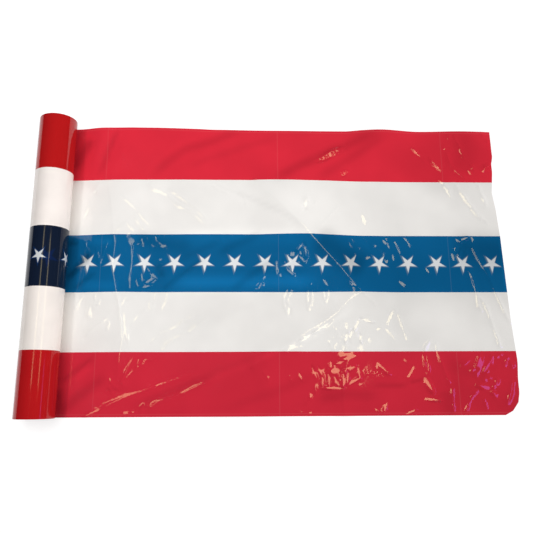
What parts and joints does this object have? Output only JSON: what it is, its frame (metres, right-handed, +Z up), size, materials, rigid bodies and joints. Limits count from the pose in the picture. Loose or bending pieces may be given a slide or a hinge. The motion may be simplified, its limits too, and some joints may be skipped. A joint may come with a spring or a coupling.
{
  "type": "roll of printed plastic bunting",
  "caption": "Roll of wide glossy plastic bunting film, striped red, white and blue with a row of stars, its loose end drawn off from under the roll and laid flat.",
  "frame": {"origin": "on the surface that the roll and its loose end lie on, under the middle of the whole length and of the web's width", "axes": "+X along the loose end, from the roll to the cut end; +Y along the roll's axis, across the web; +Z up"},
  "size_m": [1.48, 0.9144, 0.1137],
  "materials": {
    "wound_film": "glossy printed polyethylene film, many turns deep, striped red, white and dark blue",
    "laid_film": "glossy printed polyethylene film, one layer, crinkled, striped red, white and blue with white stars"
  },
  "bodies": {
    "root": {"wound_roll": "wound_film", "loose_sheet": "laid_film"}
  },
  "joints": []
}
